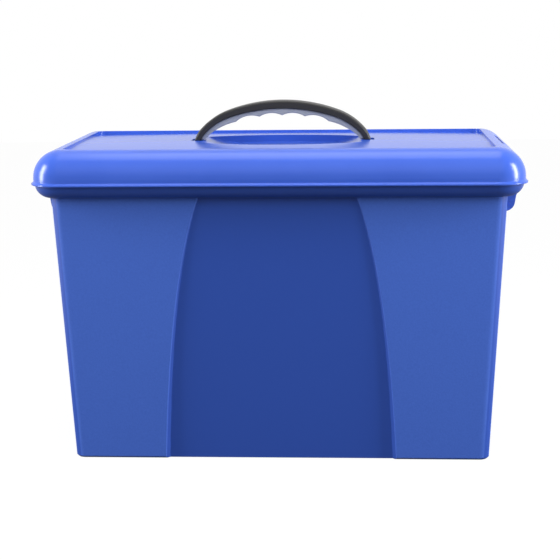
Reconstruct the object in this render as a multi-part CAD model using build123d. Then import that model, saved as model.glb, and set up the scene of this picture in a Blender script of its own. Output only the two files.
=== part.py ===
from build123d import *
import os
from math import cos, radians, sin, sqrt, tan

os.makedirs("parts", exist_ok=True)

# Portable box for hanging files: moulded tub, lift-off lid with a carrying handle, and a wrap-over clip at each end.
# Millimetres. X runs along the box, Y from front (-) to back (+), Z up.
# Origin: centre of the footprint, on the ground.

# Tub
tub_base_width = 376.0  # outside, at the ground
tub_base_depth = 182.5
tub_corner_radius = 9.0
tub_height = 240.4  # ground to the underside of the rim
tub_draft_deg = 2.73  # lean of every wall
tub_wall = 2.5
tub_floor = 3.0
base_edge_chamfer = 1.6
foot_band = 14.0  # width of the standing band round the hollow underside
foot_height = 1.2

# Flared rim
rim_shelf = 1.1  # flat under the rim before the round starts
rim_round = 13.0  # quarter round of the rim's underside
rim_edge_height = 0.6  # upright edge above the round

# Front and back recessed centre panels
panel_half_top = 72.5  # half width under the rim
panel_half_base = 105.0  # half width at the ground
panel_knee_x = 98.3  # where the end tangents of the curved border meet
panel_knee_drop = 70.4  # the same point, measured down from the rim
panel_depth_top = 1.3
panel_depth_base = 3.8

# Rails for the file hooks, inside both ends
rail_wall_gap = 1.2  # between a rail and the wall's inner face
rail_thickness = 2.5
rail_height = 6.0  # above the ledge
rail_half_length = 78.0
rail_end_round = 3.0

# Lid
lid_wall = 2.5
lid_height = 27.7  # seat to the top
lid_round = 24.5  # round between side and top
lid_corner_margin = 0.4  # plan corners at least this much larger than the round above them
lid_seat_gap = 0.3  # lid's seat above the rim edge
lid_overhang = 1.2  # lid wall outside the rim's face
skirt_drop = 2.3  # the lid's edge hangs this far below its seat
skirt_gap = 0.3  # between the hanging edge and the rim
flange_overhang = 1.9  # bead beyond the lid wall
flange_thickness = 1.2
flange_flare = 1.6  # slope between the bead and the lid's wall
lip_clearance = 1.0  # locating lip inside the rim
lip_thickness = 2.0
lip_drop = 4.0  # below the lid's edge
lip_band = 2.5  # height of the shelf that carries the lip

# Recessed top panel
recess_border = 0.8  # flat left between the round and the recess
recess_depth = 4.0  # at the ends
recess_corner_radius = 8.0
crown_rise_x = 1.4  # the panel rises this much from its ends to the middle
crown_rise_y = 2.3  # and this much from its front and back edges

# Hand scoop
scoop_depth = 7.7  # middle, below the lid's top
scoop_half_length = 74.0
scoop_flat_half = 38.0
scoop_plan_a = 91.0  # half axes of the oval that bounds the scoop
scoop_plan_b = 50.0

# Clips
clip_half_width = 39.5
clip_thickness = 2.6
clip_gap = 0.3  # all round between clip, lid and tub
clip_side_gap = 0.5
clip_reach = 13.3  # how far the clip's end lies inside the lid's wall
clip_slit = 2.4  # open groove in front of the clip's end
clip_bulge = 0.5  # how far the clip stands outside the lid's wall at the rim
clip_bulge_top_drop = 4.0  # the bulge's ends below the rim's top and below the rim's underside
clip_bulge_foot_drop = 2.0
clip_crook_drop = 1.0  # inner bend below the rim's underside
clip_bend_radius = 5.0
clip_nib_depth = 1.2
clip_nib_thickness = 2.0
clip_nib_travel = 1.6  # room in the groove behind the nib
pivot_out = 6.4  # pivot axis outside the tub's end wall
pivot_drop = 14.4  # pivot axis below the rim's underside
pin_radius = 1.75
pin_clearance = 0.05
knuckle_wall = 2.4
ear_thickness = 3.0
ear_bottom_drop = 20.4  # ear's lowest outer corner below the rim's underside
ear_top_inset = 0.2  # ear's outer edge inside the rim's face
ear_bottom_inset = 3.4
ear_slope = 1.6  # rise of the ear's bottom edge
ear_corner_radius = 9.0

# Handle
arch_half_span = 82.1  # outside of the arch at its foot
arch_rise = 41.5
arch_foot_drop = 6.0  # centre of the arch below the lid's top
arch_joint_angles = (51, 21, 0)  # degrees round the oval from the foot, where its arcs end
core_foot_thickness = 5.6
core_crown_thickness = 6.8
core_width = 22.0
core_edge_round = 1.8
grip_foot_thickness = 3.0
grip_crown_thickness = 6.8
grip_width = 19.6
scallop_pitch = 21.0
scallop_depth = 2.7
scallop_count = 4
leg_width = 18.0
leg_foot_reach = 4.4
leg_foot_height = 3.6
slot_side_gap = 1.0
slot_inner_gap = 1.6
slot_outer_gap = 2.8
slot_corner_radius = 1.5
handle_travel = 5.0  # the handle lifts this much
handle_seat_gap = 0.3  # grip ends above the panel
foot_clearance = 1.8  # feet below the panel when the handle is lifted

# Cutters run this far past the faces they cut
overcut = 1.0

# Worked out from the sizes above
draft = tan(radians(tub_draft_deg))
rim_height = rim_round + rim_edge_height
rim_top = tub_height + rim_height
ledge_z = tub_height + tub_wall
lid_bottom = rim_top + lid_seat_gap
skirt_z = lid_bottom - skirt_drop
lid_top = lid_bottom + lid_height


def tub_half(base, z):
    """Half width or depth of the tub's outside at height z."""
    return base / 2 + z * draft


rim_half_x = tub_half(tub_base_width, tub_height) + rim_shelf + rim_round
rim_half_y = tub_half(tub_base_depth, tub_height) + rim_shelf + rim_round
rim_corner = tub_corner_radius + rim_shelf + rim_round
lid_half_x = rim_half_x + lid_overhang
lid_half_y = rim_half_y + lid_overhang
lid_corner = max(rim_corner + lid_overhang, lid_round + lid_corner_margin)
recess_half_x = lid_half_x - lid_round - recess_border
recess_half_y = lid_half_y - lid_round - recess_border
round_centre_x = lid_half_x - lid_round
round_centre_z = lid_top - lid_round
pivot_z = tub_height - pivot_drop
pivot_x = tub_half(tub_base_width, pivot_z) + pivot_out
knuckle_radius = pin_radius + pin_clearance + knuckle_wall
panel_middle_z = lid_top - recess_depth + crown_rise_x + crown_rise_y
arch_z = lid_top - arch_foot_drop
seat_z = panel_middle_z + handle_seat_gap
core_inner_span = arch_half_span - core_foot_thickness
core_inner_rise = arch_rise - core_crown_thickness
leg_low_z = panel_middle_z - lid_wall - handle_travel - foot_clearance - leg_foot_height


def plate(half_x, half_y, radius, z_low, z_high):
    """Upright block with rounded plan corners."""
    outline = Plane.XY.offset(z_low) * RectangleRounded(2 * half_x, 2 * half_y, radius)
    return extrude(outline, z_high - z_low)


def tapered_box(inset, z_low, z_high, edge):
    """The tub's tapered form, inset on every side by a wall, with its lower edge cut off at 45 degrees."""
    sections = []
    for z, pull in ((z_low, inset + edge), (z_low + edge, inset), (z_high, inset)):
        half_x = tub_half(tub_base_width, z) - pull
        half_y = tub_half(tub_base_depth, z) - pull
        outline = RectangleRounded(2 * half_x, 2 * half_y, tub_corner_radius - pull)
        sections.append(Plane.XY.offset(z) * outline)
    return loft(sections, ruled=True)


def rounded_plate(half_x, half_y, corner, z_low, z_high, bottom_round):
    """Plate whose lower outer edge is a quarter round."""
    block = plate(half_x, half_y, corner, z_low, z_high)
    return fillet(block.faces().sort_by(Axis.Z)[0].edges(), bottom_round)


def domed_plate(half_x, half_y, corner, z_low, z_high, top_round):
    """Plate whose upper outer edge is a quarter round."""
    block = plate(half_x, half_y, corner, z_low, z_high)
    return fillet(block.faces().sort_by(Axis.Z)[-1].edges(), top_round)


# ---------------------------------------------------------------- tub


def panel_outline(grow, extra_top):
    """Curved border of the centre panel in (x, z), from the ground to the rim or a little above."""
    low = -overcut
    high = tub_height + extra_top
    knee_z = tub_height - panel_knee_drop
    base_x = panel_half_base + grow
    top_x = panel_half_top + grow
    right = Bezier((base_x, 0), (panel_knee_x + grow, knee_z), (top_x, tub_height))
    left = mirror(right, Plane.YZ)
    if extra_top > 0:
        top = Polyline((top_x, tub_height), (top_x, high), (-top_x, high), (-top_x, tub_height))
    else:
        top = Line((top_x, high), (-top_x, high))
    bottom = Polyline((-base_x, 0), (-base_x, low), (base_x, low), (base_x, 0))
    return make_face([right, top, left, bottom])


def panel_cut(side, wall):
    """Recess of the centre panel on the front (-1) or back (+1), with its border flared at 45 degrees."""
    base_y = tub_half(tub_base_depth, 0) - panel_depth_base - wall
    top_y = tub_half(tub_base_depth, tub_height) - panel_depth_top - wall
    lean = Vector(0, side * (top_y - base_y), tub_height).normalized()
    across = Vector(-side, 0, 0)
    outward = across.cross(lean)
    flare = 2 * panel_depth_base
    sections = []
    for step in (0, flare):
        plane = Plane(Vector(0, side * base_y, 0) + outward * step, x_dir=across, z_dir=outward)
        sections.append(plane * panel_outline(step - panel_depth_base + wall * (sqrt(2) - 1), wall))
    return loft(sections, ruled=True)


def lid_section(inset):
    """The lid's end in (x, z), reaching down to the ground, inset by a depth."""
    width = lid_half_x - inset
    height = lid_top - inset
    return Pos(width / 2, height / 2) * RectangleRounded(width, height, lid_round - inset)


def clip_pocket(wall):
    """Space in the lid's and tub's end that the closed clip lies in, grown by a wall."""
    slit_x = lid_half_x - clip_reach - clip_slit
    nib_x = lid_half_x - clip_reach + clip_nib_thickness + clip_nib_travel
    low = tub_height + rim_shelf
    high = lid_top + lid_wall + overcut
    far = lid_half_x + flange_overhang + lid_wall + overcut
    outside = Polyline((slit_x, high), (slit_x, low), (far, low), (far, high), close=True)
    groove = Polyline(
        (slit_x, lid_top), (slit_x, round_centre_z), (nib_x, round_centre_z), (nib_x, lid_top), close=True
    )
    depth = clip_thickness + clip_gap
    profile = make_face(outside) - lid_section(depth)
    profile += make_face(groove) - lid_section(depth + clip_nib_depth + clip_gap)
    if wall > 0:
        profile = offset(profile, wall)
    half_width = clip_half_width + clip_side_gap + wall
    return extrude(Plane.XZ * profile, half_width, both=True)


def ear(side_y):
    """Gusset under the rim that carries one end of a clip's pin, at the +X end."""
    wall_in = tub_half(tub_base_width, tub_height - ear_bottom_drop - ear_slope) - tub_wall
    outer_top = rim_half_x - ear_top_inset
    low = tub_height - ear_bottom_drop
    corner = Vector(rim_half_x - ear_bottom_inset, low)
    outline = Polyline(
        (wall_in, low - ear_slope),
        (corner.X, corner.Y),
        (outer_top, tub_height),
        (outer_top, rim_top - rim_edge_height),
        (wall_in, rim_top - rim_edge_height),
        close=True,
    )
    face = make_face(outline)
    face = fillet(face.vertices().sort_by_distance((corner.X, corner.Y))[0], ear_corner_radius)
    face -= Pos(pivot_x, pivot_z) * Circle(pin_radius + pin_clearance)
    inner = clip_half_width + clip_side_gap
    start = inner if side_y > 0 else -inner - ear_thickness
    return extrude(Plane.XZ.offset(-start - ear_thickness) * face, ear_thickness)


def hook_rail():
    """Upstanding rail for the file hooks, on a shelf inside the +X end."""
    wall_x = tub_half(tub_base_width, tub_height)
    shelf_out = wall_x - tub_wall / 2
    shelf_in = wall_x - tub_wall - rail_wall_gap - rail_thickness
    shelf = Pos((shelf_in + shelf_out) / 2, 0, ledge_z - tub_wall / 2) * Box(
        shelf_out - shelf_in, 2 * rail_half_length, tub_wall
    )
    side = Pos(0, ledge_z + rail_height / 2 - tub_wall / 2) * RectangleRounded(
        2 * rail_half_length, rail_height + tub_wall, rail_end_round / 2
    )
    upright = extrude(Plane.YZ.offset(shelf_in) * side, rail_thickness)
    return shelf + upright


def both_ends(shape):
    """A piece of the +X end together with its mirror image at the -X end."""
    return shape + mirror(shape, Plane.YZ)


def make_tub():
    """Tapered box with recessed centre panels, flared rim, clip ears and hook rails."""
    body = tapered_box(0, 0, tub_height, base_edge_chamfer)
    hollow = tapered_box(tub_wall, tub_floor + foot_height, ledge_z, base_edge_chamfer)
    for side in (-1, 1):
        body -= panel_cut(side, 0)
        hollow -= panel_cut(side, tub_wall)
    rim = rounded_plate(rim_half_x, rim_half_y, rim_corner, tub_height, rim_top, rim_round)
    rim_hollow = rounded_plate(
        rim_half_x - tub_wall,
        rim_half_y - tub_wall,
        rim_corner - tub_wall,
        ledge_z,
        rim_top + tub_wall,
        rim_round - tub_wall,
    )
    tub = body + rim - both_ends(clip_pocket(0))
    for side in (-1, 1):
        tub += both_ends(ear(side))
    hollow += rim_hollow - both_ends(clip_pocket(tub_wall))
    tub -= hollow
    band_x = tub_base_width / 2 - foot_band
    band_y = tub_base_depth / 2 - foot_band
    tub -= plate(band_x, band_y, tub_corner_radius, -overcut, foot_height)
    return tub + both_ends(hook_rail())


# ---------------------------------------------------------------- lid


def crown_above(lower):
    """Everything above the panel, which is crowned both ways, lowered by a wall."""
    half_y = recess_half_y + lid_wall
    ceiling = lid_top + recess_depth
    sections = []
    for x in (-lid_half_x, 0, lid_half_x):
        middle_z = panel_middle_z - lower - crown_rise_x * (x / recess_half_x) ** 2
        edge_z = middle_z - crown_rise_y * (half_y / recess_half_y) ** 2
        arc = ThreePointArc((-half_y, edge_z), (0, middle_z), (half_y, edge_z))
        frame = Polyline((half_y, edge_z), (half_y, ceiling), (-half_y, ceiling), (-half_y, edge_z))
        sections.append(Plane.YZ.offset(x) * make_face([arc, frame]))
    return loft(sections)


def recess_cut(wall):
    """Recessed top panel with its crowned floor."""
    prism = plate(
        recess_half_x + wall,
        recess_half_y + wall,
        recess_corner_radius + wall,
        lid_top - recess_depth - 2 * lid_wall,
        lid_top + overcut,
    )
    return prism & crown_above(wall)


def scoop_cut(wall):
    """Oval hand scoop whose floor is flat in the middle and curves up to the panel at both ends."""
    floor_z = lid_top - scoop_depth - wall
    end = scoop_half_length + wall
    flat = scoop_flat_half
    end_z = panel_middle_z
    base = Line((-flat, floor_z), (flat, floor_z))
    right = TangentArc([(flat, floor_z), (end, end_z)], tangent=(1, 0))
    left = mirror(right, Plane.YZ)
    ceiling = lid_top + overcut
    roof = Polyline((end, end_z), (end, ceiling), (-end, ceiling), (-end, end_z))
    trough = extrude(Plane.XZ * make_face([base, right, roof, left]), scoop_plan_b + wall, both=True)
    oval = Plane.XY.offset(floor_z - overcut) * Ellipse(scoop_plan_a + wall, scoop_plan_b + wall)
    return trough & extrude(oval, ceiling + overcut - floor_z)


def leg_slot(side):
    """Slot in the panel for one handle leg."""
    inner = arch_half_span - core_foot_thickness - slot_inner_gap
    outer = arch_half_span + slot_outer_gap
    centre = Vector(side * (inner + outer) / 2, 0, lid_bottom)
    outline = RectangleRounded(outer - inner, leg_width + 2 * slot_side_gap, slot_corner_radius)
    return extrude(Plane(centre) * outline, lid_height + overcut)


def make_lid():
    """Domed shell that laps over the rim, with flange, crowned recess, scoop, leg slots, clip recesses and lip."""
    shell = domed_plate(lid_half_x, lid_half_y, lid_corner, skirt_z, lid_top, lid_round)
    flange = plate(
        lid_half_x + flange_overhang,
        lid_half_y + flange_overhang,
        lid_corner + flange_overhang,
        skirt_z,
        skirt_z + flange_thickness,
    )
    outer = shell + flange
    flange_top = outer.faces().filter_by(Axis.Z).sort_by(Axis.Z)[1]
    outer = chamfer(flange_top.inner_wires()[0].edges(), flange_flare)
    inner_shell = domed_plate(
        lid_half_x - lid_wall,
        lid_half_y - lid_wall,
        lid_corner - lid_wall,
        lid_bottom - overcut,
        lid_top - lid_wall,
        lid_round - lid_wall,
    )
    outer = outer - recess_cut(0) - scoop_cut(0) - both_ends(clip_pocket(0))
    cavity = inner_shell - recess_cut(lid_wall) - scoop_cut(lid_wall) - both_ends(clip_pocket(lid_wall))
    rim_room = plate(
        rim_half_x + skirt_gap, rim_half_y + skirt_gap, rim_corner + skirt_gap, skirt_z - overcut, lid_bottom
    )
    lid = outer - cavity - rim_room
    for side in (-1, 1):
        lid -= leg_slot(side)
    lip_x = rim_half_x - tub_wall - lip_clearance
    lip_y = rim_half_y - tub_wall - lip_clearance
    lip_corner = rim_corner - tub_wall - lip_clearance
    shelf_top = lid_bottom + lip_band
    lip = plate(lip_x, lip_y, lip_corner, lid_bottom - lip_drop, shelf_top)
    lip += plate(
        lid_half_x - lid_wall / 2,
        lid_half_y - lid_wall / 2,
        lid_corner - lid_wall / 2,
        lid_bottom,
        shelf_top,
    )
    lip -= plate(
        lip_x - lip_thickness,
        lip_y - lip_thickness,
        lip_corner - lip_thickness,
        lid_bottom - lip_drop - overcut,
        shelf_top + overcut,
    )
    lip_gap = clip_half_width + clip_side_gap + lid_wall + lip_clearance
    lip -= Pos(0, 0, lid_bottom) * Box(3 * lid_half_x, 2 * lip_gap, 4 * lip_drop)
    return lid + lip


# ---------------------------------------------------------------- clips


def make_clip():
    """Clip of the +X end: a plate that wraps over rim and lid, with a knuckle on its pin and a snap nib."""
    end_x = lid_half_x - clip_reach
    bulge_x = lid_half_x + clip_bulge
    inner_x = lid_half_x - clip_thickness
    knuckle = Pos(pivot_x, pivot_z) * Circle(knuckle_radius)
    wrap = lid_section(0) - lid_section(clip_thickness)
    wrap &= Pos(end_x + lid_half_x, round_centre_z + lid_round) * Rectangle(2 * lid_half_x, 2 * lid_round)
    nib = lid_section(clip_thickness) - lid_section(clip_thickness + clip_nib_depth)
    nib &= Pos(end_x + clip_nib_thickness / 2, round_centre_z + lid_round) * Rectangle(
        clip_nib_thickness, 2 * lid_round
    )
    bulge_high = Vector(bulge_x, rim_top - clip_bulge_top_drop)
    bulge_low = Vector(bulge_x, tub_height - clip_bulge_foot_drop)
    crook = Vector(inner_x, tub_height - clip_crook_drop)
    plate_side = make_face(
        Polyline(
            (inner_x, round_centre_z),
            (lid_half_x, round_centre_z),
            (bulge_high.X, bulge_high.Y),
            (bulge_low.X, bulge_low.Y),
            (pivot_x + knuckle_radius, pivot_z),
            (pivot_x, pivot_z),
            (pivot_x, pivot_z + knuckle_radius - clip_thickness / 4),
            (crook.X, crook.Y),
            close=True,
        )
    )
    for corner in (bulge_high, bulge_low, crook):
        nearest = plate_side.vertices().sort_by_distance((corner.X, corner.Y))[0]
        plate_side = fillet(nearest, clip_bend_radius)
    profile = wrap + nib + plate_side + knuckle
    profile -= Pos(pivot_x, pivot_z) * Circle(pin_radius + pin_clearance)
    return extrude(Plane.XZ * profile, clip_half_width, both=True)


def make_clip_pin():
    """Plain pin through both ears and the clip's knuckle, at the +X end."""
    half = clip_half_width + clip_side_gap + ear_thickness
    return Pos(pivot_x, 0, pivot_z) * Rot(90, 0, 0) * Cylinder(pin_radius, 2 * half)


# ---------------------------------------------------------------- handle


def arch_form(half_span, rise):
    """Half of an oval over the panel, as a face in (x, z): three tangent arcs on each side."""
    crown = (0, arch_z + rise)
    start = crown
    tangent = (1, 0)
    arcs = []
    for angle in arch_joint_angles:
        end = (half_span * cos(radians(angle)), arch_z + rise * sin(radians(angle)))
        arc = TangentArc([start, end], tangent=tangent)
        arcs.append(arc)
        start = end
        tangent = arc % 1
    closing = Polyline(start, (0, arch_z), crown)
    half = make_face(arcs + [closing])
    return half + mirror(half, Plane.YZ)


def make_core():
    """Black arch: a flat bow with straight legs that end in outward snap feet."""
    core = extrude(Plane.XZ * arch_form(arch_half_span, arch_rise), core_width / 2, both=True)
    core = fillet(core.edges().filter_by(GeomType.CIRCLE), core_edge_round)
    core -= extrude(Plane.XZ * arch_form(core_inner_span, core_inner_rise), core_width, both=True)
    waist = Pos(0, 0, seat_z - arch_rise) * Box(3 * arch_half_span, 2 * core_width, 2 * arch_rise)
    narrow = Pos(0, 0, leg_low_z) * Box(3 * arch_half_span, leg_width, 2 * arch_rise)
    core -= waist - narrow
    leg_height = arch_z - leg_low_z
    for side in (-1, 1):
        leg_x = side * (arch_half_span - core_foot_thickness / 2)
        core += Pos(leg_x, 0, leg_low_z + leg_height / 2) * Box(core_foot_thickness, leg_width, leg_height)
        foot_length = core_foot_thickness + leg_foot_reach
        foot_x = side * (core_inner_span + foot_length / 2)
        core += Pos(foot_x, 0, leg_low_z + leg_foot_height / 2) * Box(foot_length, leg_width, leg_foot_height)
    return core


def make_grip():
    """Soft grip under the arch, with finger scallops along its lower side."""
    span = core_inner_span - grip_foot_thickness
    rise = core_inner_rise - grip_crown_thickness
    face = arch_form(core_inner_span, core_inner_rise) - arch_form(span, rise)
    radius = (scallop_pitch / 2) ** 2 / (2 * scallop_depth) + scallop_depth / 2
    drop = radius - scallop_depth
    for index in range(scallop_count):
        x = (index - (scallop_count - 1) / 2) * scallop_pitch
        z = arch_z + rise * sqrt(1 - (x / span) ** 2)
        slope = -rise * x / span / sqrt(span**2 - x**2)
        norm = sqrt(1 + slope**2)
        face -= Pos(x + slope / norm * drop, z - drop / norm) * Circle(radius)
    face &= Pos(0, seat_z + arch_rise) * Rectangle(3 * arch_half_span, 2 * arch_rise)
    return extrude(Plane.XZ * face, grip_width / 2, both=True)


right_clip = make_clip()
right_clip_pin = make_clip_pin()
parts = {
    "tub": make_tub(),
    "lid": make_lid(),
    "right_clip": right_clip,
    "left_clip": mirror(right_clip, Plane.YZ),
    "right_clip_pin": right_clip_pin,
    "left_clip_pin": mirror(right_clip_pin, Plane.YZ),
    "handle_core": make_core(),
    "handle_grip": make_grip(),
}
for name, shape in parts.items():
    export_step(shape, f"parts/{name}.step")
    print(name, round(shape.volume), len(shape.solids()), shape.is_valid)
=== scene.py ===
"""Portable box for hanging files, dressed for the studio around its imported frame."""

import logging
from dataclasses import dataclass
from enum import Enum
from math import cos, radians, sin, tan
from typing import Any

import bpy
from mathutils import Matrix, Vector


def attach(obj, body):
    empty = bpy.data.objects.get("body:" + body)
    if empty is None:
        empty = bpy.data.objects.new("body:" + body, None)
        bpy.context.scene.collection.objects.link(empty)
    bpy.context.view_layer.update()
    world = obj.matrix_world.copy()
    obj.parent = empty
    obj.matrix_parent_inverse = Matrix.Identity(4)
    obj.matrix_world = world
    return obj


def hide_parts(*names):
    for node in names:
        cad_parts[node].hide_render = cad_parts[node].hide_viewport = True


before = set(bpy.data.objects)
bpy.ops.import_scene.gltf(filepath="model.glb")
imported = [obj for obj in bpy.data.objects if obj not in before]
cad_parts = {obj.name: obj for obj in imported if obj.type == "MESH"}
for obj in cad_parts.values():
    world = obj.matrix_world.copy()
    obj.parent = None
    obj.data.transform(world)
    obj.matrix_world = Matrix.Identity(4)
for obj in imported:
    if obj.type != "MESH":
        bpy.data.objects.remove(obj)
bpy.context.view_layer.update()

MM = 0.001
WHITE = (1.0, 1.0, 1.0, 1.0)
POLYPROPYLENE_IOR = 1.49
ELASTOMER_IOR = 1.45
PIN_ROUGHNESS = 0.45
EDGE_SAMPLES = 6  # rays that find a shaded edge rounding
WAVE_PITCH = 0.314  # distance between the wave texture's bands at a scale of one
MIX_RESULT = 2  # the Mix node's sockets for colours
MIX_LOW = 6
MIX_HIGH = 7
MERGE_MM = 0.005  # vertices closer than this become one
FLAT_DEG = 0.6  # facets that turn by less than this become one face
log = logging.getLogger("file_box")


class End(Enum):
    """The two ends of the box, each with its clip and pin."""

    LEFT = "left"
    RIGHT = "right"


class Slot(Enum):
    """The record's material slots of the nodes that are replaced here."""

    BOX = "box_plastic"
    GRIP = "soft_grip"


# ------------------------------------------------------------------ node helpers


def to_linear(value: str) -> tuple[float, float, float, float]:
    """Turns an sRGB hex colour into linear light.

    Args:
        value: Six hex digits, two each for red, green and blue.

    Returns:
        Linear red, green, blue and an alpha of one.
    """
    channels = [int(value[i : i + 2], 16) / 255 for i in (0, 2, 4)]
    linear = [c / 12.92 if c <= 0.04045 else ((c + 0.055) / 1.055) ** 2.4 for c in channels]
    return (*linear, 1.0)


def add_node(
    tree: bpy.types.NodeTree,
    kind: str,
    settings: dict[str, Any] | None = None,
    values: dict[Any, Any] | None = None,
    links: dict[Any, bpy.types.NodeSocket] | None = None,
) -> bpy.types.Node:
    """Adds one node with its settings, socket values and incoming links.

    Args:
        tree: The node tree that takes the node.
        kind: Blender's name of the node's type, without its leading ShaderNode.
        settings: Attribute names and their values.
        values: Input sockets, by name or number, and their values.
        links: Input sockets, by name or number, and the outputs that feed them.

    Returns:
        The new node.
    """
    node = tree.nodes.new("ShaderNode" + kind)
    for name, value in (settings or {}).items():
        setattr(node, name, value)
    for socket, value in (values or {}).items():
        node.inputs[socket].default_value = value
    for socket, source in (links or {}).items():
        tree.links.new(source, node.inputs[socket])
    return node


def new_material(name: str) -> tuple[bpy.types.Material, bpy.types.NodeTree]:
    """Makes an empty node material.

    Args:
        name: The real material's name.

    Returns:
        The material and its cleared node tree.
    """
    material = bpy.data.materials.new(name)
    material.use_nodes = True
    material.node_tree.nodes.clear()
    return material, material.node_tree


def noise_of(
    tree: bpy.types.NodeTree, place: bpy.types.NodeSocket, size_mm: float, detail: float = 2.0
) -> bpy.types.NodeSocket:
    """Adds noise whose blotches have a real size.

    Args:
        tree: The node tree to add to.
        place: The coordinates that the noise is read at.
        size_mm: Width of one blotch.
        detail: How many finer layers it carries.

    Returns:
        The noise's height, from 0 to 1.
    """
    node = add_node(
        tree, "TexNoise", values={"Scale": 1 / (size_mm * MM), "Detail": detail}, links={"Vector": place}
    )
    return node.outputs["Fac"]


def bump_on(
    tree: bpy.types.NodeTree,
    height: bpy.types.NodeSocket,
    depth_mm: float,
    normal: bpy.types.NodeSocket,
) -> bpy.types.NodeSocket:
    """Lays relief over a normal.

    Args:
        tree: The node tree to add to.
        height: The relief's height, from 0 to 1.
        depth_mm: What a height of one stands for.
        normal: The normal that it is laid over.

    Returns:
        The new normal.
    """
    node = add_node(
        tree,
        "Bump",
        values={"Distance": depth_mm * MM, "Strength": 1.0},
        links={"Height": height, "Normal": normal},
    )
    return node.outputs["Normal"]


def blend_colours(
    tree: bpy.types.NodeTree, share: bpy.types.NodeSocket, low: str, high: str
) -> bpy.types.NodeSocket:
    """Blends two colours by a share.

    Args:
        tree: The node tree to add to.
        share: 0 gives the low colour, 1 the high one.
        low: First colour, as sRGB hex.
        high: Second colour, as sRGB hex.

    Returns:
        The blended colour.
    """
    ramp = add_node(tree, "ValToRGB", links={"Fac": share})
    ramp.color_ramp.elements[0].color = to_linear(low)
    ramp.color_ramp.elements[1].color = to_linear(high)
    return ramp.outputs["Color"]


def calculate(
    tree: bpy.types.NodeTree, operation: str, first: bpy.types.NodeSocket, second: Any = None
) -> bpy.types.NodeSocket:
    """Adds one step of arithmetic.

    Args:
        tree: The node tree to add to.
        operation: Name of the Math node's operation.
        first: First operand.
        second: Second operand, a socket or a number.

    Returns:
        The result.
    """
    linked = isinstance(second, bpy.types.NodeSocket)
    node = add_node(
        tree,
        "Math",
        settings={"operation": operation},
        values={} if linked or second is None else {1: second},
        links={0: first, 1: second} if linked else {0: first},
    )
    return node.outputs[0]


def ramp_down(
    tree: bpy.types.NodeTree, value: bpy.types.NodeSocket, start: float, end: float
) -> bpy.types.NodeSocket:
    """Gives 1 below a start, falling to 0 at an end.

    Args:
        tree: The node tree to add to.
        value: What is measured.
        start: Where the fall begins.
        end: Where it has reached nothing.

    Returns:
        The clamped share.
    """
    node = add_node(
        tree,
        "MapRange",
        values={"From Min": start, "From Max": end, "To Min": 1.0, "To Max": 0.0},
        links={"Value": value},
    )
    return node.outputs["Result"]


def rounded_edge(tree: bpy.types.NodeTree, round_mm: float) -> bpy.types.NodeSocket:
    """Shades the edges of a surface as if they were rounded.

    Args:
        tree: The node tree to add to.
        round_mm: Radius of the rounding.

    Returns:
        The normal with rounded edges.
    """
    node = add_node(tree, "Bevel", settings={"samples": EDGE_SAMPLES}, values={"Radius": round_mm * MM})
    return node.outputs["Normal"]


# ------------------------------------------------------------------ finishes


@dataclass(frozen=True)
class SatinPolypropylene:
    """Blue polypropylene from a satin-polished tool, as on the lid and clips."""

    # Polypropylene, injection moulded on polished steel: soft broad highlights, a faint
    # orange-peel wave, and pale sheens where it is seen edge on.
    name: str = "polypropylene, satin moulded"
    deep: str = "2F53B8"
    pale: str = "385CC2"
    roughness: float = 0.25
    peel_mm: float = 11.0
    peel_height_mm: float = 0.035
    grain_mm: float = 1.3  # real grain is near 0.1 mm, drawn as coarse as shows
    grain_height_mm: float = 0.006
    mottle_mm: float = 45.0
    edge_round_mm: float = 0.6
    specular: float = 0.5

    def build(self) -> bpy.types.Material:
        """Makes the material."""
        material, tree = new_material(self.name)
        place = add_node(tree, "TexCoord").outputs["Object"]
        edge = rounded_edge(tree, self.edge_round_mm)
        peel = noise_of(tree, place, self.peel_mm, detail=0.0)
        wave = bump_on(tree, peel, self.peel_height_mm, edge)
        grain = bump_on(tree, noise_of(tree, place, self.grain_mm), self.grain_height_mm, wave)
        colour = blend_colours(tree, noise_of(tree, place, self.mottle_mm), self.deep, self.pale)
        shader = add_node(
            tree,
            "BsdfPrincipled",
            values={
                "Roughness": self.roughness,
                "IOR": POLYPROPYLENE_IOR,
                "Specular IOR Level": self.specular,
            },
            links={"Normal": grain, "Base Color": colour},
        )
        add_node(tree, "OutputMaterial", links={"Surface": shader.outputs["BSDF"]})
        return material


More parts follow.
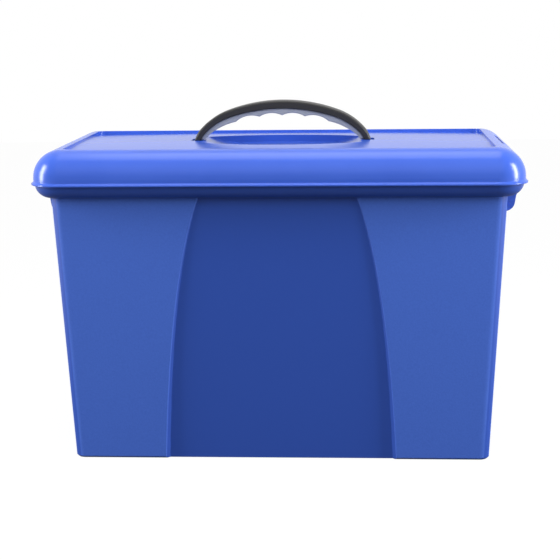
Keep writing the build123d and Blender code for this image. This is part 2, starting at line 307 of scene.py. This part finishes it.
@dataclass(frozen=True)
class SparkErodedPolypropylene:
    """Blue polypropylene of the tub: spark-eroded ends and side panels, smooth centre panels and rim."""

    # Polypropylene, injection moulded on spark-eroded steel: a dull, finely pitted skin
    # that scatters light, next to polished fields that look deeper and darker. Both looks are
    # painted into the colour: the skin's paler blue is a painted sheen, the darker blue of the
    # smooth fields and rim is painted shade.
    base_width_mm: float
    base_depth_mm: float
    draft_deg: float
    rim_foot_mm: float
    name: str = "polypropylene, spark-eroded"
    # Painted light: the smooth fields and rim are darker as painted shade, the skin paler as a painted
    # sheen.
    smooth_colour_with_painted_shade: str = "2B4BA2"
    spark_colour_with_painted_sheen: str = "4267C3"
    # Painted shade: the pits' low points are darker than the crests; like the whole skin, still paler than
    # the smooth fields as a painted sheen.
    spark_pit_colour_painted_sheen_and_shade: str = "385AB4"
    smooth_roughness: float = 0.36
    spark_roughness: float = 0.58
    skin_mm: float = 0.6  # the pitted skin ends this far behind the outer wall
    skin_fade_mm: float = 0.5
    pit_mm: float = 1.5  # real pits are near 0.2 mm, drawn as coarse as shows
    pit_depth_mm: float = 0.085
    edge_round_mm: float = 0.7
    specular: float = 0.4

    def skin_share(self, tree: bpy.types.NodeTree, place: bpy.types.NodeSocket) -> bpy.types.NodeSocket:
        """Finds the pitted skin: on the leaning outer walls and below the rim.

        Args:
            tree: The node tree to add to.
            place: Object coordinates.

        Returns:
            1 on the pitted skin and 0 on the smooth fields.
        """
        split = add_node(tree, "SeparateXYZ", links={"Vector": place})
        lean = calculate(tree, "MULTIPLY", split.outputs["Z"], tan(radians(self.draft_deg)))
        depths = []
        for axis, width in (("X", self.base_width_mm), ("Y", self.base_depth_mm)):
            wall = calculate(tree, "ADD", lean, width / 2 * MM)
            from_middle = calculate(tree, "ABSOLUTE", split.outputs[axis])
            depths.append(calculate(tree, "SUBTRACT", wall, from_middle))
        depth = calculate(tree, "MINIMUM", depths[0], depths[1])
        fade = self.skin_fade_mm * MM
        skin_end = self.skin_mm * MM
        rim_foot = self.rim_foot_mm * MM
        outer = ramp_down(tree, depth, skin_end, skin_end + fade)
        low = ramp_down(tree, split.outputs["Z"], rim_foot - fade, rim_foot)
        return calculate(tree, "MULTIPLY", outer, low)

    def build(self) -> bpy.types.Material:
        """Makes the material."""
        material, tree = new_material(self.name)
        place = add_node(tree, "TexCoord").outputs["Object"]
        skin = self.skin_share(tree, place)
        pits = noise_of(tree, place, self.pit_mm, detail=3.0)
        edge = rounded_edge(tree, self.edge_round_mm)
        relief = calculate(tree, "MULTIPLY", pits, skin)
        normal = bump_on(tree, relief, self.pit_depth_mm, edge)
        # Painted shade: the pits' low points take the darker blue, the crests the paler one.
        pitted = blend_colours(tree, pits, self.spark_pit_colour_painted_sheen_and_shade, self.spark_colour_with_painted_sheen)
        # Painted light: the smooth fields and rim take a darker blue as painted shade, the pitted skin a
        # paler blue as a painted sheen.
        colour = add_node(
            tree,
            "Mix",
            settings={"data_type": "RGBA"},
            values={MIX_LOW: to_linear(self.smooth_colour_with_painted_shade)},
            links={0: skin, MIX_HIGH: pitted},
        )
        gloss = add_node(
            tree,
            "MapRange",
            values={"To Min": self.smooth_roughness, "To Max": self.spark_roughness},
            links={"Value": skin},
        )
        shader = add_node(
            tree,
            "BsdfPrincipled",
            values={"IOR": POLYPROPYLENE_IOR, "Specular IOR Level": self.specular},
            links={
                "Normal": normal,
                "Base Color": colour.outputs[MIX_RESULT],
                "Roughness": gloss.outputs["Result"],
            },
        )
        add_node(tree, "OutputMaterial", links={"Surface": shader.outputs["BSDF"]})
        return material


@dataclass(frozen=True)
class GrainedPolypropylene:
    """Black polypropylene of the handle's arch, with a fine diagonal grain."""

    # Filled black polypropylene from an etched tool: near black, dull, with fine slanting
    # lines that catch a little light; their crests are also coloured slightly paler as a painted highlight.
    name: str = "polypropylene, black grained"
    deep: str = "191919"
    pale: str = "2A2929"
    roughness: float = 0.5
    line_mm: float = 1.5  # real lines are near 0.5 mm apart, drawn as coarse as shows
    line_height_mm: float = 0.05
    line_distortion: float = 1.5
    slant_deg: tuple[float, float, float] = (0.0, 38.0, 20.0)
    grain_mm: float = 0.9
    grain_height_mm: float = 0.02
    edge_round_mm: float = 0.8

    def build(self) -> bpy.types.Material:
        """Makes the material."""
        material, tree = new_material(self.name)
        place = add_node(tree, "TexCoord").outputs["Object"]
        slant = tuple(radians(turn) for turn in self.slant_deg)
        turned = add_node(tree, "Mapping", values={"Rotation": slant}, links={"Vector": place})
        lines = add_node(
            tree,
            "TexWave",
            settings={"wave_type": "BANDS", "bands_direction": "X"},
            values={
                "Scale": WAVE_PITCH / (self.line_mm * MM),
                "Distortion": self.line_distortion,
                "Detail": 1.0,
            },
            links={"Vector": turned.outputs["Vector"]},
        )
        edge = rounded_edge(tree, self.edge_round_mm)
        ribbed = bump_on(tree, lines.outputs["Fac"], self.line_height_mm, edge)
        normal = bump_on(tree, noise_of(tree, place, self.grain_mm), self.grain_height_mm, ribbed)
        # Painted highlight: the lines' crests take the paler colour.
        colour = blend_colours(tree, lines.outputs["Fac"], self.deep, self.pale)
        shader = add_node(
            tree,
            "BsdfPrincipled",
            values={"Roughness": self.roughness, "IOR": POLYPROPYLENE_IOR},
            links={"Normal": normal, "Base Color": colour},
        )
        add_node(tree, "OutputMaterial", links={"Surface": shader.outputs["BSDF"]})
        return material


@dataclass(frozen=True)
class SoftElastomer:
    """Grey thermoplastic elastomer of the grip."""

    # Thermoplastic elastomer moulded over the arch: matt, faintly dusty, no hard highlights.
    name: str = "thermoplastic elastomer, matt"
    deep: str = "82868F"
    pale: str = "9095A0"
    roughness: float = 0.72
    grain_mm: float = 1.2
    grain_height_mm: float = 0.03
    mottle_mm: float = 9.0
    sheen: float = 0.05

    def build(self) -> bpy.types.Material:
        """Makes the material."""
        material, tree = new_material(self.name)
        place = add_node(tree, "TexCoord").outputs["Object"]
        flat = add_node(tree, "NewGeometry").outputs["Normal"]
        normal = bump_on(tree, noise_of(tree, place, self.grain_mm), self.grain_height_mm, flat)
        colour = blend_colours(tree, noise_of(tree, place, self.mottle_mm), self.deep, self.pale)
        shader = add_node(
            tree,
            "BsdfPrincipled",
            values={"Roughness": self.roughness, "IOR": ELASTOMER_IOR, "Sheen Weight": self.sheen},
            links={"Normal": normal, "Base Color": colour},
        )
        add_node(tree, "OutputMaterial", links={"Surface": shader.outputs["BSDF"]})
        return material


# ------------------------------------------------------------------ mesh helpers


def select_only(piece: bpy.types.Object) -> None:
    """Makes one object the selected and active one.

    Args:
        piece: The object.
    """
    bpy.ops.object.select_all(action="DESELECT")
    piece.select_set(True)
    bpy.context.view_layer.objects.active = piece


def rounded_copy(node: str, name: str, round_mm: float, sharp_deg: float, segments: int) -> bpy.types.Object:
    """Makes a finished skin over a node, with its hard edges truly rounded.

    Args:
        node: The node whose form is followed.
        name: The new piece's name.
        round_mm: Width of the rounding.
        sharp_deg: Edges that turn by more than this are rounded.
        segments: Facets across the rounding.

    Returns:
        The new piece.
    """
    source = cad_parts[node]
    piece = bpy.data.objects.new(name, source.data.copy())
    bpy.context.scene.collection.objects.link(piece)
    select_only(piece)
    bpy.ops.mesh.customdata_custom_splitnormals_clear()
    bpy.ops.object.mode_set(mode="EDIT")
    bpy.ops.mesh.select_all(action="SELECT")
    bpy.ops.mesh.remove_doubles(threshold=MERGE_MM * MM)
    bpy.ops.mesh.dissolve_limited(angle_limit=radians(FLAT_DEG))
    bpy.ops.mesh.normals_make_consistent(inside=False)
    bpy.ops.object.mode_set(mode="OBJECT")
    rounding = piece.modifiers.new("edge rounding", "BEVEL")
    rounding.width = round_mm * MM
    rounding.segments = segments
    rounding.limit_method = "ANGLE"
    rounding.angle_limit = radians(sharp_deg)
    bpy.ops.object.modifier_apply(modifier=rounding.name)
    bpy.ops.object.shade_smooth_by_angle(angle=radians(sharp_deg))
    return piece


def dress(target: bpy.types.Object, material: bpy.types.Material) -> None:
    """Gives a piece or a kept node its finish.

    Args:
        target: The object to dress.
        material: Its finish.
    """
    target.data.materials.clear()
    target.data.materials.append(material)
    log.info("%s: %s, %d faces", target.name, material.name, len(target.data.polygons))


# ------------------------------------------------------------------ the box


@dataclass
class Tub:
    """The tapered tub, kept from the frame, with its pitted and smooth fields."""

    base_width_mm: float = 376.0
    base_depth_mm: float = 182.5
    draft_deg: float = 2.73
    rim_foot_mm: float = 240.4

    def build(self) -> None:
        """Dresses the tub."""
        finish = SparkErodedPolypropylene(
            self.base_width_mm, self.base_depth_mm, self.draft_deg, self.rim_foot_mm
        )
        dress(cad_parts["tub"], finish.build())


@dataclass
class Lid:
    """The domed lid, kept from the frame."""

    finish: SatinPolypropylene = SatinPolypropylene()

    def build(self) -> None:
        """Dresses the lid."""
        dress(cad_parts["lid"], self.finish.build())


@dataclass
class Clip:
    """One wrap-over clip with rounded edges, and the pin that it turns on."""

    end: End
    round_mm: float = 0.7
    segments: int = 3
    sharp_deg: float = 32.0

    def build(self, plastic: bpy.types.Material, pin_plastic: bpy.types.Material) -> None:
        """Makes the clip's skin and dresses the pin.

        Args:
            plastic: The clip's finish.
            pin_plastic: The pin's finish.
        """
        node = f"{self.end.value}_clip"
        piece = rounded_copy(node, f"{node}_moulding", self.round_mm, self.sharp_deg, self.segments)
        dress(piece, plastic)
        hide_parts(node)
        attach(piece, node)
        dress(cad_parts[f"{node}_pin"], pin_plastic)


@dataclass
class Handle:
    """The black arch, kept from the frame, and the soft grip with rounded edges under it."""

    round_mm: float = 1.1
    segments: int = 4
    sharp_deg: float = 40.0

    def build(self) -> None:
        """Makes the grip's skin and dresses the arch."""
        dress(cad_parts["handle_core"], GrainedPolypropylene().build())
        grip = rounded_copy("handle_grip", "soft_grip", self.round_mm, self.sharp_deg, self.segments)
        dress(grip, SoftElastomer().build())
        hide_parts("handle_grip")
        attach(grip, "handle")


# ------------------------------------------------------------------ camera and studio


@dataclass
class PhotoCamera:
    """The camera at the photograph's place and angle."""

    place: tuple[float, float, float] = (0.0734, -1.3191, 0.4028)
    yaw_rad: float = -0.0588
    pitch_rad: float = 0.1908
    roll_rad: float = -0.0117
    lens_mm: float = 91.01
    sensor_mm: float = 36.0

    def build(self) -> None:
        """Adds the camera to the scene."""
        flat = cos(self.pitch_rad)
        ahead = Vector((sin(self.yaw_rad) * flat, cos(self.yaw_rad) * flat, -sin(self.pitch_rad)))
        level = Vector((cos(self.yaw_rad), -sin(self.yaw_rad), 0))
        above = level.cross(ahead)
        right = level * cos(self.roll_rad) + above * sin(self.roll_rad)
        up = above * cos(self.roll_rad) - level * sin(self.roll_rad)
        data = bpy.data.cameras.new("photo_camera")
        data.lens = self.lens_mm
        data.sensor_width = self.sensor_mm
        camera = bpy.data.objects.new("photo_camera", data)
        turn = Matrix((right, up, -ahead)).transposed().to_4x4()
        camera.matrix_world = Matrix.Translation(self.place) @ turn
        bpy.context.scene.collection.objects.link(camera)
        bpy.context.scene.camera = camera


@dataclass
class Softbox:
    """One rectangular lamp behind a diffuser."""

    name: str
    place: tuple[float, float, float]
    width: float
    height: float
    power: float
    target: tuple[float, float, float] = (0, 0, 0.2)  # inside the box
    mirrored: bool = True  # whether glossy surfaces mirror it

    def build(self) -> None:
        """Adds the lamp to the scene."""
        data = bpy.data.lights.new(self.name, "AREA")
        data.shape = "RECTANGLE"
        data.size = self.width
        data.size_y = self.height
        data.energy = self.power
        lamp = bpy.data.objects.new(self.name, data)
        lamp.location = self.place
        lamp.visible_glossy = self.mirrored
        lamp.rotation_mode = "QUATERNION"
        lamp.rotation_quaternion = (Vector(self.target) - Vector(self.place)).to_track_quat("-Z", "Y")
        bpy.context.scene.collection.objects.link(lamp)


@dataclass
class Studio:
    """Pale floor, white surroundings and soft lamps."""

    floor_half: float = 3.0
    floor_colour: str = "FAFAFA"
    bounce_colour: str = "4A4A4A"  # the floor as it lights the box
    glow_share: float = 0.975  # how much of the floor's seen white is its own light
    floor_gloss: float = 0.12  # share of white that reflections find on the floor near the box
    side_gloss: float = 1.0  # the same share well out at the sides
    side_start: float = 0.35  # distance from the middle where the share begins to rise
    side_full: float = 0.9  # and where it is full
    front_gloss: float = 0.25  # share of white that reflections find behind the camera
    back_gloss: float = 1.0  # the same share at the backdrop
    back_blend: float = 0.3  # how far either side of sideways the change between the two reaches
    world_strength: float = 0.3
    lamps: tuple[Softbox, ...] = (
        Softbox("top_softbox", place=(0, 0.15, 1.5), width=0.9, height=0.9, power=6),
        Softbox(
            "front_softbox",
            place=(0.1, -1.4, 1.7),
            width=1.9,
            height=1.9,
            power=31,
            target=(0, 0, 0.15),
            mirrored=False,
        ),
        Softbox("left_softbox", place=(-1.2, -0.3, 0.55), width=0.3, height=0.9, power=18),
        Softbox("right_softbox", place=(1.2, -0.3, 0.55), width=0.3, height=0.9, power=21),
    )

    def build(self) -> None:
        """Makes floor, world and lamps."""
        self.floor()
        self.surroundings()
        for lamp in self.lamps:
            lamp.build()

    def floor(self) -> None:
        """Makes the white floor, which keeps the object's shadow."""
        bpy.ops.object.select_all(action="DESELECT")
        bpy.ops.mesh.primitive_plane_add(size=2 * self.floor_half)
        plane = bpy.context.object
        plane.name = "studio_floor"
        material, tree = new_material("white paper floor")
        lit = add_node(tree, "BsdfDiffuse", values={"Color": to_linear(self.floor_colour)})
        glow = add_node(tree, "Emission", values={"Color": WHITE, "Strength": 1.0})
        shown = add_node(
            tree,
            "MixShader",
            values={0: self.glow_share},
            links={1: lit.outputs[0], 2: glow.outputs[0]},
        )
        dull = add_node(tree, "BsdfDiffuse", values={"Color": to_linear(self.bounce_colour)})
        place = add_node(tree, "TexCoord").outputs["Object"]
        across = add_node(tree, "SeparateXYZ", links={"Vector": place})
        gloss = add_node(
            tree,
            "MapRange",
            values={
                "From Min": self.side_start,
                "From Max": self.side_full,
                "To Min": self.floor_gloss,
                "To Max": self.side_gloss,
            },
            links={"Value": calculate(tree, "ABSOLUTE", across.outputs["X"])},
        )
        share = self.white_share(tree, gloss.outputs["Result"])
        mix = add_node(tree, "MixShader", links={0: share, 1: dull.outputs[0], 2: shown.outputs[0]})
        add_node(tree, "OutputMaterial", links={"Surface": mix.outputs[0]})
        plane.data.materials.append(material)

    def surroundings(self) -> None:
        """Makes the world: white where it is seen, softer where it only lights."""
        world = bpy.data.worlds.new("studio")
        bpy.context.scene.world = world
        world.use_nodes = True
        tree = world.node_tree
        tree.nodes.clear()
        dim = add_node(tree, "Background", values={"Color": WHITE, "Strength": self.world_strength})
        white = add_node(tree, "Background", values={"Color": WHITE, "Strength": 1.0})
        facing = add_node(tree, "TexCoord").outputs["Generated"]
        ahead = add_node(tree, "SeparateXYZ", links={"Vector": facing})
        backdrop = add_node(
            tree,
            "MapRange",
            values={
                "From Min": -self.back_blend,
                "From Max": self.back_blend,
                "To Min": self.front_gloss,
                "To Max": self.back_gloss,
            },
            links={"Value": ahead.outputs["Y"]},
        )
        share = self.white_share(tree, backdrop.outputs["Result"])
        mix = add_node(tree, "MixShader", links={0: share, 1: dim.outputs[0], 2: white.outputs[0]})
        add_node(tree, "OutputWorld", links={"Surface": mix.outputs[0]})

    def white_share(self, tree: bpy.types.NodeTree, gloss: bpy.types.NodeSocket) -> bpy.types.NodeSocket:
        """Picks the rays that meet the white surroundings.

        Args:
            tree: The node tree to add to.
            gloss: Share for glossy rays.

        Returns:
            1 for camera and transmission rays, and that share for glossy ones.
        """
        path = add_node(tree, "LightPath")
        seen = calculate(tree, "MAXIMUM", path.outputs["Is Camera Ray"], path.outputs["Is Transmission Ray"])
        glossy = calculate(tree, "MULTIPLY", path.outputs["Is Glossy Ray"], gloss)
        return calculate(tree, "MAXIMUM", seen, glossy)


def main() -> None:
    """Builds the dressed box, the studio and the camera."""
    logging.basicConfig(level=logging.INFO)
    bpy.context.scene.view_settings.view_transform = "Standard"
    PhotoCamera().build()
    Studio().build()
    Tub().build()
    Lid().build()
    clip_plastic = SatinPolypropylene(name="polypropylene, satin moulded clip").build()
    pin_plastic = SatinPolypropylene(name="polypropylene, drawn pin", roughness=PIN_ROUGHNESS).build()
    for end in End:
        Clip(end).build(clip_plastic, pin_plastic)
    Handle().build()


if __name__ == "__main__":
    main()
